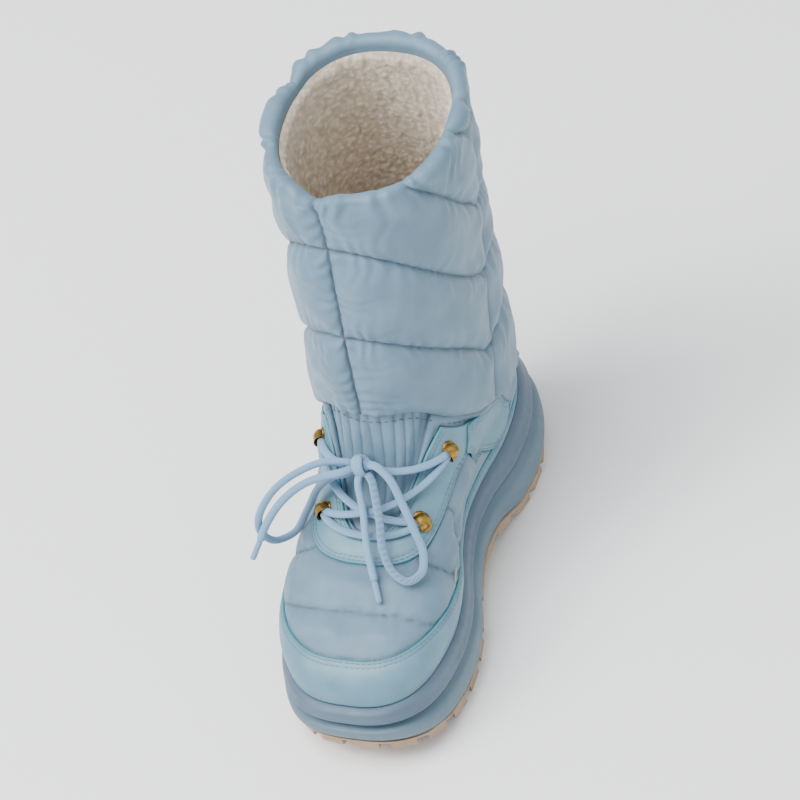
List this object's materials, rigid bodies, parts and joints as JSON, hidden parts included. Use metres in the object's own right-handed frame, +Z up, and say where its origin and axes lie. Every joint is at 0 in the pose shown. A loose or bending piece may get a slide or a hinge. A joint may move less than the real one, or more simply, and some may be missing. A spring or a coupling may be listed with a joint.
{
  "type": "apres ski boot",
  "caption": "Quilted winter boot for the right foot with a thick two-tier sole, a leather rand and eyestay, brass lace hooks and a bow-tied lace, standing empty.",
  "frame": {"origin": "on the floor under the middle of the heel", "axes": "-Y towards the toe, +X towards the inner side of the foot, +Z up"},
  "size_m": [0.1309, 0.293, 0.327],
  "materials": {
    "tan_rubber": "matte",
    "foam": "matte",
    "felt": "matte",
    "nylon": "satin",
    "quilted_nylon": "satin",
    "leather": "satin",
    "brass": "satin",
    "cord": "matte"
  },
  "bodies": {
    "root": {"outsole": "tan_rubber", "midsole": "foam", "insole": "felt", "upper": "nylon", "mudguard": "leather", "shaft": "quilted_nylon", "tongue": "nylon", "eyestay": "leather", "ankle_strap_medial": "leather", "ankle_strap_lateral": "leather", "hook_1": "brass", "hook_2": "brass", "hook_3": "brass", "hook_4": "brass", "lace_crossings": "cord", "lace_knot": "cord", "lace_loop_lateral": "cord", "lace_loop_medial": "cord", "lace_end_lateral": "cord", "lace_end_medial": "cord", "lace_tip_lateral": "cord", "lace_tip_medial": "cord"}
  },
  "joints": []
}
